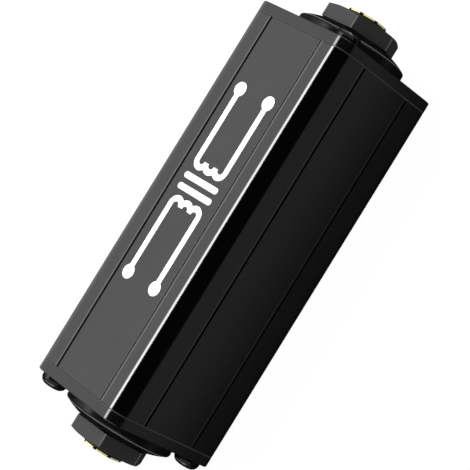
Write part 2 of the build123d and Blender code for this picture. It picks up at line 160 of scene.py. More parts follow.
class EffectGroups:
    """Shader node groups that several finishes share, each built once.

    Attributes:
        fine_detail: octaves of a noise that is seen close by.
        broad_detail: octaves of one that varies slowly.
        full_share: share of a band's half width in which it is full.
        break_scale: breaks in the band to the metre.
    """

    fine_detail: float = 3.0
    broad_detail: float = 4.0
    full_share: float = 0.6
    break_scale: float = 400.0

    @staticmethod
    def start(name: str, numbers: dict[str, float], outputs: tuple[str, ...]) -> Graph:
        """Opens a new group.

        Args:
            name: the group's name.
            numbers: its number inputs with their usual values.
            outputs: its value outputs.

        Returns:
            The graph of the empty group.
        """
        tree = bpy.data.node_groups.new(name, "ShaderNodeTree")
        tree.interface.new_socket("Place", in_out="INPUT", socket_type="NodeSocketVector")
        for label, value in numbers.items():
            socket = tree.interface.new_socket(label, in_out="INPUT", socket_type="NodeSocketFloat")
            socket.default_value = value
        for label in outputs:
            tree.interface.new_socket(label, in_out="OUTPUT", socket_type="NodeSocketFloat")
        return Graph(tree)

    @classmethod
    @cache
    def fine_grain(cls) -> bpy.types.NodeTree:
        """Even grain of a coated or moulded surface, with broad faint patches.

        Returns:
            A group whose Height is the grain and whose Tone is a value near 1 that varies slowly.
        """
        numbers = {"Grain": 6000.0, "Patch": 90.0, "Patchiness": 0.1}
        graph = cls.start("fine_grain", numbers, ("Height", "Tone"))
        source = graph.add("NodeGroupInput").outputs
        fine = graph.noise(source["Place"], source["Grain"], cls.fine_detail)
        broad = graph.noise(source["Place"], source["Patch"], cls.broad_detail)
        graph.add("NodeGroupOutput", {"Height": fine, "Tone": graph.tone(broad, source["Patchiness"])})
        return graph.tree

    @classmethod
    @cache
    def drawn_lines(cls) -> bpy.types.NodeTree:
        """Long parallel lines left by a die, a brush or a rolling mill, along local X.

        Returns:
            A group whose Height is the lines and whose Tone is a value near 1 along them.
        """
        numbers = {"Length": 25.0, "Fineness": 5000.0, "Strength": 0.15}
        graph = cls.start("drawn_lines", numbers, ("Height", "Tone"))
        source = graph.add("NodeGroupInput").outputs
        place = graph.split(source["Place"])
        scales = {"X": source["Length"], "Y": source["Fineness"], "Z": source["Fineness"]}
        drawn = {axis: graph.math("MULTIPLY", place[axis], scale) for axis, scale in scales.items()}
        joined = graph.add("ShaderNodeCombineXYZ", drawn).outputs[0]
        lines = graph.noise(joined, 1.0, cls.fine_detail)
        graph.add("NodeGroupOutput", {"Height": lines, "Tone": graph.tone(lines, source["Strength"])})
        return graph.tree

    @classmethod
    @cache
    def even_bands(cls) -> bpy.types.NodeTree:
        """Equal rounded bands that follow each other along local Z, as turns or stacked plates do.

        Returns:
            A group whose Height is 1 on a band and 0 in the gap between two bands.
        """
        graph = cls.start("even_bands", {"Pitch": 0.3 * MM}, ("Height",))
        source = graph.add("NodeGroupInput").outputs
        along = graph.split(source["Place"])["Z"]
        turn = graph.math("MULTIPLY", graph.math("DIVIDE", along, source["Pitch"]), math.pi)
        graph.add("NodeGroupOutput", {"Height": graph.math("ABSOLUTE", graph.math("SINE", turn))})
        return graph.tree

    @classmethod
    @cache
    def edge_band(cls) -> bpy.types.NodeTree:
        """Soft band at one value of a coordinate, for a worn edge and for painted highlight lines.

        Returns:
            A group whose Mask is 1 at the band's centre and 0 beyond its half width.
        """
        numbers = {"Value": 0.0, "Centre": 0.0, "Half Width": 0.2 * MM, "Breaks": 0.3}
        graph = cls.start("edge_band", numbers, ("Mask",))
        source = graph.add("NodeGroupInput").outputs
        share = graph.math("DIVIDE", graph.away(source["Value"], source["Centre"]), source["Half Width"])
        band = graph.ramp(share, cls.full_share, 1.0, 1.0, 0.0)
        breakup = graph.noise(source["Place"], cls.break_scale, cls.fine_detail)
        left = graph.math("MULTIPLY_ADD", graph.math("MULTIPLY", breakup, source["Breaks"]), -1.0, 1.0)
        graph.add("NodeGroupOutput", {"Mask": graph.math("MULTIPLY", band, left)})
        return graph.tree


class Coat(Graph):
    """Graph of one material, with the shader that its finish works on.

    Attributes:
        shader: the material's shader, with the finish's plain values on its inputs.
    """

    shader: bpy.types.Node

    def now(self, name: str) -> Output:
        """Returns what is joined to one of the shader's inputs so far."""
        return self.shader.inputs[name].links[0].from_socket

    def put(self, name: str, value: Output) -> None:
        """Joins a value to one of the shader's inputs."""
        self.join(value, self.shader.inputs[name])

    def place(self, turn: Turn = (0.0, 0.0, 0.0)) -> Output:
        """Finds the object's own coordinates, in metres.

        Args:
            turn: degrees to turn them by, round X, Y and Z.

        Returns:
            The coordinates.
        """
        own = self.add("ShaderNodeTexCoord").outputs["Object"]
        if not any(turn):
            return own
        angles = tuple(math.radians(angle) for angle in turn)
        return self.add("ShaderNodeMapping", {"Vector": own, "Rotation": angles}).outputs["Vector"]

    def own(self) -> Outputs:
        """Returns the object's own X, Y and Z."""
        return self.split(self.place())

    def facing(self, axis: str) -> Output:
        """Returns how squarely the face looks along an axis, from 0 to 1."""
        true_normal = self.add("ShaderNodeNewGeometry").outputs["True Normal"]
        return self.math("ABSOLUTE", self.split(true_normal)[axis])

    def from_axis(self, own: Outputs, middle: Pair) -> Output:
        """Works out a point's distance from an axis parallel to X.

        Args:
            own: the point's coordinates.
            middle: the axis's Y and Z.

        Returns:
            The root of the two differences' squares added up.
        """
        sides = [self.math("SUBTRACT", own[axis], centre) for axis, centre in zip("YZ", middle)]
        squares = [self.math("MULTIPLY", side, side) for side in sides]
        return self.math("SQRT", self.math("ADD", *squares))

    def shade(self, tone: Output) -> None:
        """Multiplies the shader's plain colour and roughness by a tone.

        Args:
            tone: a value near 1, lower where the surface is darker and shinier.
        """
        plain = {name: self.shader.inputs[name].default_value for name in ("Base Color", "Roughness")}
        grey = self.add("ShaderNodeCombineColor", {"Red": tone, "Green": tone, "Blue": tone}).outputs[0]
        inputs = {0: 1.0, 6: tuple(plain["Base Color"]), 7: grey}
        toned = self.add("ShaderNodeMix", inputs, data_type="RGBA", blend_type="MULTIPLY").outputs[2]
        self.put("Base Color", toned)
        self.put("Roughness", self.math("MULTIPLY", tone, plain["Roughness"]))

    def tint(self, mask: Output, colour: Colour) -> None:
        """Lays a colour over what the shader has so far, where a mask is 1."""
        self.put("Base Color", self.blend(mask, self.now("Base Color"), colour))

    def relief(self, height: Output, depth: float, strength: float) -> None:
        """Turns a height into the surface's fine relief.

        Args:
            height: the height, from 0 to 1.
            depth: what a height of 1 stands for, in metres.
            strength: share of it that shows.
        """
        bump = self.add("ShaderNodeBump", {"Strength": strength, "Distance": depth, "Height": height})
        self.put("Normal", bump.outputs["Normal"])


# Finishes


@dataclass(frozen=True)
class Finish:
    """What every finish shares: its name, colour and shine.

    Attributes:
        name: the material's name.
        colour: linear red, green and blue.
        roughness: from 0, polished, to 1, chalky.
        metallic: 1 for metal and 0 for anything else.
        specular: strength of a non-metal's own reflection.
        rim: strength of what the surface reflects at a glancing angle.
    """

    name: str
    colour: Colour
    roughness: float
    metallic: float = 0.0
    specular: float = 0.5
    rim: float = 1.0

    @cache
    def material(self) -> bpy.types.Material:
        """Builds the material, once however many pieces wear it, with its plain values on the shader.

        Returns:
            The finished material.
        """
        made = bpy.data.materials.new(self.name)
        coat = Coat.opened(made)
        coat.shader = coat.add("ShaderNodeBsdfPrincipled", {
            "Base Color": (*self.colour, 1.0),
            "Roughness": self.roughness,
            "Metallic": self.metallic,
            "Specular IOR Level": self.specular,
            "Specular Tint": (self.rim, self.rim, self.rim, 1.0),
        })
        coat.add("ShaderNodeOutputMaterial", {"Surface": coat.shader.outputs["BSDF"]})
        self.dress(coat)
        return made

    def dress(self, coat: Coat) -> None:
        """Adds what is particular to the finish. The plain one adds nothing.

        Args:
            coat: the material's graph and shader; the plain finish does not use it.
        """


@dataclass(frozen=True)
class GrainedFinish(Finish):
    """Coated, moulded or anodised surface with an even grain.

    Attributes:
        grain: bumps to the metre.
        grain_depth: their height in metres.
        grain_strength: share of that height that shows.
        patch: broad patches to the metre.
        patchiness: how much the patches change tone and shine.
    """

    grain: float = 6000.0
    grain_depth: float = 0.01 * MM
    grain_strength: float = 0.3
    patch: float = 90.0
    patchiness: float = 0.15

    def dress(self, coat: Coat) -> None:
        """Adds the grain and the slow change of tone.

        Args:
            coat: the material's graph and shader.
        """
        grain = coat.group(EffectGroups.fine_grain(), {
            "Place": coat.place(),
            "Grain": self.grain,
            "Patch": self.patch,
            "Patchiness": self.patchiness,
        })
        coat.shade(grain["Tone"])
        coat.relief(grain["Height"], self.grain_depth, self.grain_strength)


@dataclass(frozen=True)
class DrawnFinish(Finish):
    """Metal with long fine lines, such as an extrusion, brushed plate or turned ring.

    Attributes:
        turn: degrees that bring the lines' direction onto local X.
        line_length: lines to the metre lengthways.
        fineness: lines to the metre across.
        line_tone: how much the lines change tone.
        line_depth: height of the lines in metres.
        line_strength: share of that height that shows.
    """

    turn: Turn = (0.0, 0.0, 0.0)
    line_length: float = 25.0
    fineness: float = 5000.0
    line_tone: float = 0.15
    line_depth: float = 0.004 * MM
    line_strength: float = 0.3

    def dress(self, coat: Coat) -> None:
        """Adds the lines to tone and relief.

        Args:
            coat: the material's graph and shader.
        """
        lines = coat.group(EffectGroups.drawn_lines(), {
            "Place": coat.place(self.turn),
            "Length": self.line_length,
            "Fineness": self.fineness,
            "Strength": self.line_tone,
        })
        coat.shade(lines["Tone"])
        coat.relief(lines["Height"], self.line_depth, self.line_strength)


@dataclass(frozen=True)
class WearAndHighlightFinish(GrainedFinish):
    """Grained surface with a band of its own colour and shine at one value of a coordinate: the caps' worn
    dull seam, and painted highlight lines on the groove lips, washer creases, nut corners and screw rims.

    Attributes:
        edge: the coordinate's value at the edge, in metres.
        edge_width: half of the band's width.
        band_colour: colour of the band.
        band_roughness: roughness of the band.
        band_metallic: metallic value of the band, where it differs.
        breaks: how far the band is broken up, from 0 to 1.
        middle: Y and Z of the axis that distances are taken from.
        polish: colour of the painted highlight line along the near long edges, if there is one.
        painted_highlight_reach: distances from the middle plane at which that line starts, is full,
            starts to fade and ends.
    """

    edge: float = 0.0
    edge_width: float = 0.2 * MM
    band_colour: Colour = (0.1, 0.1, 0.1)
    band_roughness: float = 0.4
    band_metallic: float | None = None
    breaks: float = 0.3
    middle: Pair = (0.0, 0.0)
    polish: Colour | None = None
    painted_highlight_reach: tuple[float, float, float, float] = (0.0, 0.0, 0.0, 0.0)

    def reach(self, coat: Coat) -> Output:
        """Returns the coordinate that the band follows: here the distance from the long axis."""
        return coat.from_axis(coat.own(), self.middle)

    def dress(self, coat: Coat) -> None:
        """Adds the grain, the band over its colour and shine, and the painted highlight line.

        Args:
            coat: the material's graph and shader.
        """
        super().dress(coat)
        band = coat.group(EffectGroups.edge_band(), {
            "Place": coat.place(),
            "Value": self.reach(coat),
            "Centre": self.edge,
            "Half Width": self.edge_width,
            "Breaks": self.breaks,
        })["Mask"]
        # the band's colour: a worn dull seam on the caps, painted highlight on groove lips, washer creases,
        # nut corners and screw rims
        coat.tint(band, self.band_colour)
        plain = coat.now("Roughness")
        added = coat.math("MULTIPLY", band, coat.math("SUBTRACT", self.band_roughness, plain))
        coat.put("Roughness", coat.math("ADD", plain, added))
        if self.band_metallic is not None:
            change = self.band_metallic - self.metallic
            coat.put("Metallic", coat.math("MULTIPLY_ADD", band, change, self.metallic))
        if self.polish is not None:
            # painted highlight: a lighter line along the near long edges stands in for their highlight
            coat.tint(self.polished(coat), self.polish)

    def polished(self, coat: Coat) -> Output:
        """Marks the painted highlight line along the long edges on the near side.

        Args:
            coat: the material's graph and shader.

        Returns:
            A mask that rises, stays 1 and falls with the distance in front of the middle plane.
        """
        across = coat.math("SUBTRACT", self.middle[0], coat.own()["Y"])
        start, full, fade, end = self.painted_highlight_reach
        rise = coat.ramp(across, start, full, 0.0, 1.0)
        return coat.math("MULTIPLY", rise, coat.ramp(across, fade, end, 1.0, 0.0))


@dataclass(frozen=True)
class SeamFinish(WearAndHighlightFinish):
    """Banded finish whose band lies at one distance from the middle of the long axis: the caps' dull seam,
    and the painted highlight on the screw heads' rims.
    """

    def reach(self, coat: Coat) -> Output:
        """Returns the distance from the middle, along the long axis."""
        return coat.math("ABSOLUTE", coat.own()["X"])


@dataclass(frozen=True)
class GroovedFinish(WearAndHighlightFinish):
    """Finish whose bands run lengthways beside the grooves of each face, as painted highlights on the groove
    lips.

    Attributes:
        side_shift: how far the bands of the upright faces lie above their mirrored places, putting their
            painted highlight on the upper, lit side of each groove.
        level_facing: least share at which a face counts as the top or the bottom.
        wall: distance of the grooves' inner walls from the face's middle line.
        wall_half_width: half of the width in which a point counts as on that wall.
        wall_facing: least share at which a face counts as such a wall.
        painted_wall_light: lighter matt colour of the walls, painted light where they would otherwise show
            dark.
    """

    side_shift: float = 0.0
    level_facing: float = 0.7
    wall: float = 0.0
    wall_half_width: float = 0.04 * MM
    wall_facing: float = 0.9
    painted_wall_light: Colour = (0.55, 0.55, 0.55)

    def reach(self, coat: Coat) -> Output:
        """Finds how far a point is from the middle line of whichever face it is on.

        Args:
            coat: the material's graph and shader.

        Returns:
            The distance across on a level face, and the shifted one upwards on an upright face.
        """
        own = coat.own()
        level = coat.math("GREATER_THAN", coat.facing("Z"), self.level_facing)
        across = coat.away(own["Y"], self.middle[0])
        up = coat.math("ADD", coat.away(own["Z"], self.middle[1] + self.side_shift), self.side_shift)
        return coat.math("MULTIPLY_ADD", level, coat.math("SUBTRACT", across, up), up)

    def dress(self, coat: Coat) -> None:
        """Adds the bands, then painted light on the inner walls of the grooves in the top and bottom faces.

        Args:
            coat: the material's graph and shader.
        """
        super().dress(coat)
        across = coat.away(coat.own()["Y"], self.middle[0])
        near = coat.math("COMPARE", across, self.wall, self.wall_half_width)
        turned = coat.math("GREATER_THAN", coat.facing("Y"), self.wall_facing)
        mask = coat.math("MULTIPLY", near, turned)
        # painted light: the inner groove walls turn a lighter matt grey
        coat.tint(mask, self.painted_wall_light)
        coat.put("Metallic", coat.math("SUBTRACT", self.metallic, mask))


@dataclass(frozen=True)
class NotchedFinish(DrawnFinish):
    """Turned plated ring with painted shade in and beside its notches and at its root.

    Attributes:
        notch: least and greatest distance of the notches' walls from the axis.
        notch_count: number of notches round the ring.
        notch_start: angle of the first one's middle, in degrees.
        notch_reach: how far from its middle a notch's painted shade is full, and where it ends.
        painted_notch_shade: colour of the painted shade in and beside the notches and at the ring's root.
        wall_facing: share of facing along the axis under which a face counts as a wall.
        middle: the axis, across and up.
        root: distance from the middle of the box at which the ring comes out of the nut.
        root_fade: how far the painted shade reaches out along the ring from there.
    """

    notch: Pair = (0.0, 0.0)
    notch_count: int = 8
    notch_start: float = 22.5
    notch_reach: Pair = (0.32 * MM, 0.46 * MM)
    painted_notch_shade: Colour = (0.02, 0.018, 0.003)
    wall_facing: float = 0.5
    middle: Pair = (0.0, 0.0)
    root: float = 0.0
    root_fade: float = 0.12 * MM

    def dress(self, coat: Coat) -> None:
        """Adds the lines, then the painted shade of the notches and of the ring's root.

        Args:
            coat: the material's graph and shader.
        """
        super().dress(coat)
        own = coat.own()
        away = coat.from_axis(own, self.middle)
        beyond = coat.math("GREATER_THAN", away, self.notch[0])
        inside = coat.math("MULTIPLY", beyond, coat.math("LESS_THAN", away, self.notch[1]))
        upright = coat.math("LESS_THAN", coat.facing("X"), self.wall_facing)
        wall = coat.math("MULTIPLY", inside, upright)
        beside = coat.ramp(self.from_notch(coat, own, away), *self.notch_reach, 1.0, 0.0)
        out = coat.math("ABSOLUTE", own["X"])
        root = coat.ramp(out, self.root, self.root + self.root_fade, 1.0, 0.0)
        shade = coat.math("MAXIMUM", coat.math("MAXIMUM", wall, beside), root)
        # painted shade: darkens the notch walls, the ring beside each notch and its root at the nut
        coat.tint(shade, self.painted_notch_shade)

    def from_notch(self, coat: Coat, own: Outputs, away: Output) -> Output:
        """Works out how far round the ring a point lies from the nearest notch's middle.

        Args:
            coat: the material's graph and shader.
            own: the point's coordinates.
            away: its distance from the axis.

        Returns:
            The angle to that notch times the distance from the axis, in metres.
        """
        step = FULL_TURN / self.notch_count
        across = coat.math("SUBTRACT", own["Y"], self.middle[0])
        up = coat.math("SUBTRACT", own["Z"], self.middle[1])
        start = 0.5 - math.radians(self.notch_start) / step
        steps = coat.math("MULTIPLY_ADD", coat.math("ARCTAN2", up, across), 1.0 / step, start)
        share = coat.away(coat.math("FRACT", steps), 0.5)
        return coat.math("MULTIPLY", coat.math("MULTIPLY", share, step), away)


@dataclass(frozen=True)
class BandedFinish(Finish):
    """Equal bands one after another, such as turns of wire or the edges of stacked plates.

    Attributes:
        turn: degrees that bring the direction in which the bands follow each other onto local Z.
        pitch: from one band to the next, in metres.
        gap_depth: how far the gaps between bands lie back.
        gap_strength: share of that depth that shows.
        gap_tone: tone in the gaps, against 1 on the bands; the darker gaps are painted shade.
        patch: broad patches to the metre.
        patchiness: how much the patches change tone.
    """

    turn: Turn = (0.0, 0.0, 0.0)
    pitch: float = 0.3 * MM
    gap_depth: float = 0.06 * MM
    gap_strength: float = 0.8
    gap_tone: float = 0.4
    patch: float = 300.0
    patchiness: float = 0.3

    def dress(self, coat: Coat) -> None:
        """Adds the bands to tone and relief.

        Args:
            coat: the material's graph and shader.
        """
        place = coat.place(self.turn)
        bands = coat.group(EffectGroups.even_bands(), {"Place": place, "Pitch": self.pitch})["Height"]
        broad = coat.tone(coat.noise(place, self.patch, EffectGroups.fine_detail), self.patchiness)
        # painted shade: the gaps between bands are darker
        tone = coat.math("MULTIPLY_ADD", bands, 1.0 - self.gap_tone, self.gap_tone)
        coat.shade(coat.math("MULTIPLY", tone, broad))
        coat.relief(bands, self.gap_depth, self.gap_strength)


@dataclass(frozen=True)
class BoardFinish(GrainedFinish):
    """Solder mask over woven glass, with bare laminate at the cut edges.

    Attributes:
        edge_colour: colour of the cut edges.
        edge_facing: share of facing up under which a face counts as a cut edge.
        weave: threads to the metre.
        weave_depth: height of the threads in metres.
        weave_strength: share of that height that shows.
    """

    edge_colour: Colour = (0.45, 0.36, 0.18)
    edge_facing: float = 0.5
    weave: float = 1900.0
    weave_depth: float = 0.01 * MM
    weave_strength: float = 0.4

    def dress(self, coat: Coat) -> None:
        """Adds the woven relief and the bare edges.

        Args:
            coat: the material's graph and shader.
        """
        super().dress(coat)
        own = coat.own()
        threads = [coat.math("SINE", coat.math("MULTIPLY", own[axis], self.weave * math.pi))
                   for axis in "XY"]
        woven = coat.math("MULTIPLY", *threads)
        coat.relief(woven, self.weave_depth, self.weave_strength)
        edge = coat.math("LESS_THAN", coat.facing("Z"), self.edge_facing)
        coat.tint(edge, self.edge_colour)


# Meshes


def arc(centre: Pair, radius: float, start: float, end: float, count: int) -> np.ndarray:
    """Points on a circle: centre plus radius times cosine and sine of equal steps of angle.

    Args:
        centre: the circle's centre.
        radius: its radius.
        start: first angle in degrees.
        end: last angle.
        count: number of points.

    Returns:
        An array of count rows with two values each.
    """
    turn = np.radians(np.linspace(start, end, count))
    return np.array(centre) + radius * np.column_stack((np.cos(turn), np.sin(turn)))


def ruled_strip(first: np.ndarray, second: np.ndarray, low: float, high: float) -> np.ndarray:
    """Sections of a flat strip that lies between two edge lines of equally many points.

    Args:
        first: points of one edge line.
        second: points of the other.
        low: height of the underside.
        high: height of the upper side.

    Returns:
        One four-cornered section for each pair of points, as rows of X, Y and Z.
    """
    corners = [np.column_stack((line, np.full(len(line), height)))
               for line, height in ((first, low), (first, high), (second, high), (second, low))]
    return np.stack(corners, axis=1)


def skin_faces(sections: int, corners: int, first: int) -> list[list[int]]:
    """Faces that join each section to the next, and close the first and the last.

    Args:
        sections: number of sections.
        corners: corners in each.
        first: index of the first vertex.

    Returns:
        The faces as lists of vertex indices.
    """
    row = first + corners * np.arange(sections - 1)[:, None]
    here = np.arange(corners)[None, :]
    then = (here + 1) % corners
    quads = np.stack((row + here, row + then, row + corners + then, row + corners + here), axis=-1)
    last = first + corners * (sections - 1)
    ends = [list(range(first + corners - 1, first - 1, -1)), list(range(last, last + corners))]
    return quads.reshape(-1, 4).tolist() + ends


def make_piece(name: str, skins: list[np.ndarray], finish: Finish) -> bpy.types.Object:
    """Makes one closed mesh of one or more skins, with its faces outwards.

    Args:
        name: the piece's name.
        skins: for each skin its sections, in metres.
        finish: the piece's finish.

    Returns:
        The new object, which rides on the body.
    """
    points = np.concatenate([skin.reshape(-1, 3) for skin in skins])
    faces: list[list[int]] = []
    first = 0
    for skin in skins:
        faces += skin_faces(skin.shape[0], skin.shape[1], first)
        first += skin.shape[0] * skin.shape[1]
    mesh = bpy.data.meshes.new(name)
    mesh.from_pydata(points.tolist(), [], faces)
    shell = bmesh.new()
    shell.from_mesh(mesh)
    bmesh.ops.recalc_face_normals(shell, faces=shell.faces)
    shell.to_mesh(mesh)
    shell.free()
    mesh.materials.append(finish.material())
    piece = bpy.data.objects.new(name, mesh)
    bpy.context.scene.collection.objects.link(piece)
    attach(piece, "root")
    log.info("made %s with %d faces", name, len(mesh.polygons))
    return piece


def dress(finish: Finish, *names: str) -> None:
    """Gives CAD nodes a finish in place of the plain one.

    Args:
        finish: the finish.
        names: the nodes' names.
    """
    made = finish.material()
    for name in names:
        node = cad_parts[name]
        node.data.materials.clear()
        node.data.materials.append(made)
        log.info("dressed %s in %s", name, finish.name)


# Sub-assemblies


class End(Enum):
    """The box's two ends, named by their sockets. Each value is its direction along X."""

    INPUT = -1.0
    OUTPUT = 1.0


@dataclass
class Casing:
    """The extruded box with its end caps and their screws.

    Attributes:
        axis_height: height of the long axis, which the worn bands are measured from.
        groove_lip: distance of the painted highlight band beside each groove from the face's middle line.
        lip_half_width: half of that band's width.
        lip_shift: half of what brings the upright faces' painted highlight bands to the upper, lit side of
            their grooves.
        groove_wall: distance of the grooves' inner walls from the middle line.
        cap_inner: distance of the caps' inner faces from the middle of the long axis.
        cap_face: distance of their outer faces.
        seam_inset: how far the dull band of a cap's seam lies out from its inner face.
        seam_half_width: half of that band's width.
        screw_rim_rise: height over the cap of the painted highlight on the screw heads' rims.
        screw_rim_half_width: half of the rims' width.
        polished_line: distances from the middle plane between which the near edges carry a painted highlight
            line.
    """

    axis_height: float
    cap_inner: float
    cap_face: float
    groove_lip: float = 7.32 * MM
    lip_half_width: float = 0.33 * MM
    lip_shift: float = 0.36 * MM
    groove_wall: float = 6.725 * MM
    seam_inset: float = 0.1 * MM
    seam_half_width: float = 0.2 * MM
    screw_rim_rise: float = 1.3 * MM
    screw_rim_half_width: float = 0.16 * MM
    polished_line: tuple[float, float, float, float] = (10.07 * MM, 10.13 * MM, 10.6 * MM, 10.75 * MM)

    def build(self) -> None:
        """Dresses the box, the caps and the screws."""
        # housing: the lighter bands beside the grooves are painted highlights
        dress(GroovedFinish(
            "housing_black", (0.065, 0.065, 0.0655), roughness=0.13, metallic=1.0,
            edge=self.groove_lip, edge_width=self.lip_half_width, band_colour=(0.12, 0.12, 0.12),
            band_roughness=0.2, middle=(0.0, self.axis_height), side_shift=self.lip_shift, breaks=0.15,
            # painted highlight line along the housing's near long edges
            specular=0.2, wall=self.groove_wall, polish=(0.24, 0.24, 0.242), painted_highlight_reach=self.polished_line,
        ), "housing")
        dress(SeamFinish(
            "cap_black", (0.055, 0.055, 0.0555), roughness=0.19, metallic=0.96, specular=0.2, breaks=0.2,
            edge=self.cap_inner + self.seam_inset, edge_width=self.seam_half_width,
            band_colour=(0.044, 0.044, 0.044), band_metallic=0.0,
            # painted highlight line along the caps' near long edges
            polish=(0.17, 0.17, 0.17), painted_highlight_reach=self.polished_line,
        ), "input_end_cap", "output_end_cap")
        # painted highlight: a broken lighter line round the screw heads' rims
        dress(SeamFinish(
            "screw_black", (0.03, 0.03, 0.03), roughness=0.2, metallic=0.9, specular=0.1, rim=0.0,
            edge=self.cap_face + self.screw_rim_rise, edge_width=self.screw_rim_half_width, breaks=0.95,
            band_colour=(0.2, 0.2, 0.2), band_roughness=0.2,
        ), "end_cap_screws")


@dataclass
class Socket:
    """One panel socket: washer, nut, gold ferrule, body, contacts and the bush's thread.

    Attributes:
        end: the end of the box that the socket is in.
        axis_height: height of the socket's axis.
        cap_face: distance of the cap's outer face from the middle of the box.
        thread_root: radius of the thread's root.
        thread_crest: radius of its crest.
        thread_pitch: from one turn to the next.
        thread_start: distance of its start from the cap's face.
        thread_end: distance of its end.
        crest_width: width of the crest.
        root_share: width of the ridge's root against the pitch.
        run_out: turn in which the ridge fades out at each end.
        least_share: share of its height that it keeps at the very ends.
        turn_steps: sections in one turn.
        rim_crease: distance from the axis of the painted highlight line on the washer's crease.
        crease_half_width: half of its width.
        nut_corner: distance from the axis of the painted highlight lines on the nut's corners.
        corner_half_width: half of their width.
        notch_depth: least and greatest distance of the gold ring's notches from the axis.
        gold_root: distance from the cap's face at which the ring comes out of the nut.
    """

    end: End
    axis_height: float
    cap_face: float
    thread_root: float = 4.72 * MM
    thread_crest: float = 4.88 * MM
    thread_pitch: float = 0.75 * MM
    thread_start: float = 0.2 * MM
    thread_end: float = 5.6 * MM
    crest_width: float = 0.1 * MM
    root_share: float = 0.84
    run_out: float = 1.0 / 3.0
    least_share: float = 0.05
    turn_steps: int = 48
    rim_crease: float = 10.85 * MM
    crease_half_width: float = 0.26 * MM
    nut_corner: float = 8.08 * MM
    corner_half_width: float = 0.12 * MM
    notch_depth: Pair = (3.4 * MM, 4.06 * MM)
    gold_root: float = 6.96 * MM

    def build(self) -> None:
        """Dresses the socket's nodes and cuts the bush's thread."""
        end = self.end.name.lower()
        middle = (0.0, self.axis_height)
        # painted highlight: a lighter matt line along the washer's crease
        dress(WearAndHighlightFinish(
            "washer_black", (0.022, 0.022, 0.0222), roughness=0.25, metallic=0.8, specular=0.1, rim=0.0,
            edge=self.rim_crease, edge_width=self.crease_half_width, band_colour=(0.14, 0.14, 0.14),
            band_metallic=0.0, middle=middle,
        ), f"{end}_jack_washer")
        # painted highlight: lighter lines along the nut's corners
        dress(WearAndHighlightFinish(
            "nut_black", (0.029, 0.029, 0.0295), roughness=0.45, specular=0.25, edge=self.nut_corner,
            edge_width=self.corner_half_width, band_colour=(0.12, 0.12, 0.12), middle=middle,
        ), f"{end}_jack_nut")
        # painted shade in the gold ring's notches and at its root
        dress(NotchedFinish(
            "gold", (1.0, 0.96, 0.5), roughness=0.5, metallic=0.3, notch=self.notch_depth, middle=middle,
            root=self.cap_face + self.gold_root,
        ), f"{end}_jack_ferrule")
        dress(self.moulding(), f"{end}_jack_body")
        dress(DrawnFinish("contact_metal", (0.7, 0.64, 0.5), roughness=0.3, metallic=1.0),
              *(f"{end}_{piece}" for piece in ("tip_spring", "ring_spring", "sleeve_terminal")))
        make_piece(f"{end}_bush_thread", [self.thread()], self.moulding())

    def moulding(self) -> Finish:
        """Returns the finish of the moulded body and its thread."""
        return GrainedFinish("socket_black", (0.01, 0.01, 0.01), roughness=0.4, specular=0.2)

    def thread(self) -> np.ndarray:
        """Ridge of the thread: a blunt V that follows a helix and fades out at both ends.

        Along the helix the angle grows evenly and the place along the axis grows by the
        pitch in each turn. The ridge's height is the full one times a share that rises
        evenly from the least one to 1 within the run-out, and falls again at the end.

        Returns:
            The sections of the ridge, each with four corners.
        """
        turns = (self.thread_end - self.thread_start) / self.thread_pitch
        count = int(turns * self.turn_steps) + 1
        angle = np.linspace(0.0, FULL_TURN * turns, count)
        from_end = np.minimum(angle, angle[-1] - angle)
        share = np.clip(from_end / (FULL_TURN * self.run_out), self.least_share, 1.0)
        height = (self.thread_crest - self.thread_root) * share
        along = self.cap_face + self.thread_start + self.thread_pitch * angle / FULL_TURN
        root_half = self.root_share * self.thread_pitch / 2.0
        crest_half = self.crest_width / 2.0
        offsets = np.array((-root_half, -crest_half, crest_half, root_half))
        rises = np.array((0.0, 1.0, 1.0, 0.0))
        radius = self.thread_root + height[:, None] * rises[None, :]
        x = self.end.value * (along[:, None] + offsets[None, :])
        y = radius * np.cos(angle)[:, None]
        z = self.axis_height + radius * np.sin(angle)[:, None]
        return np.stack((x, y, z), axis=-1)


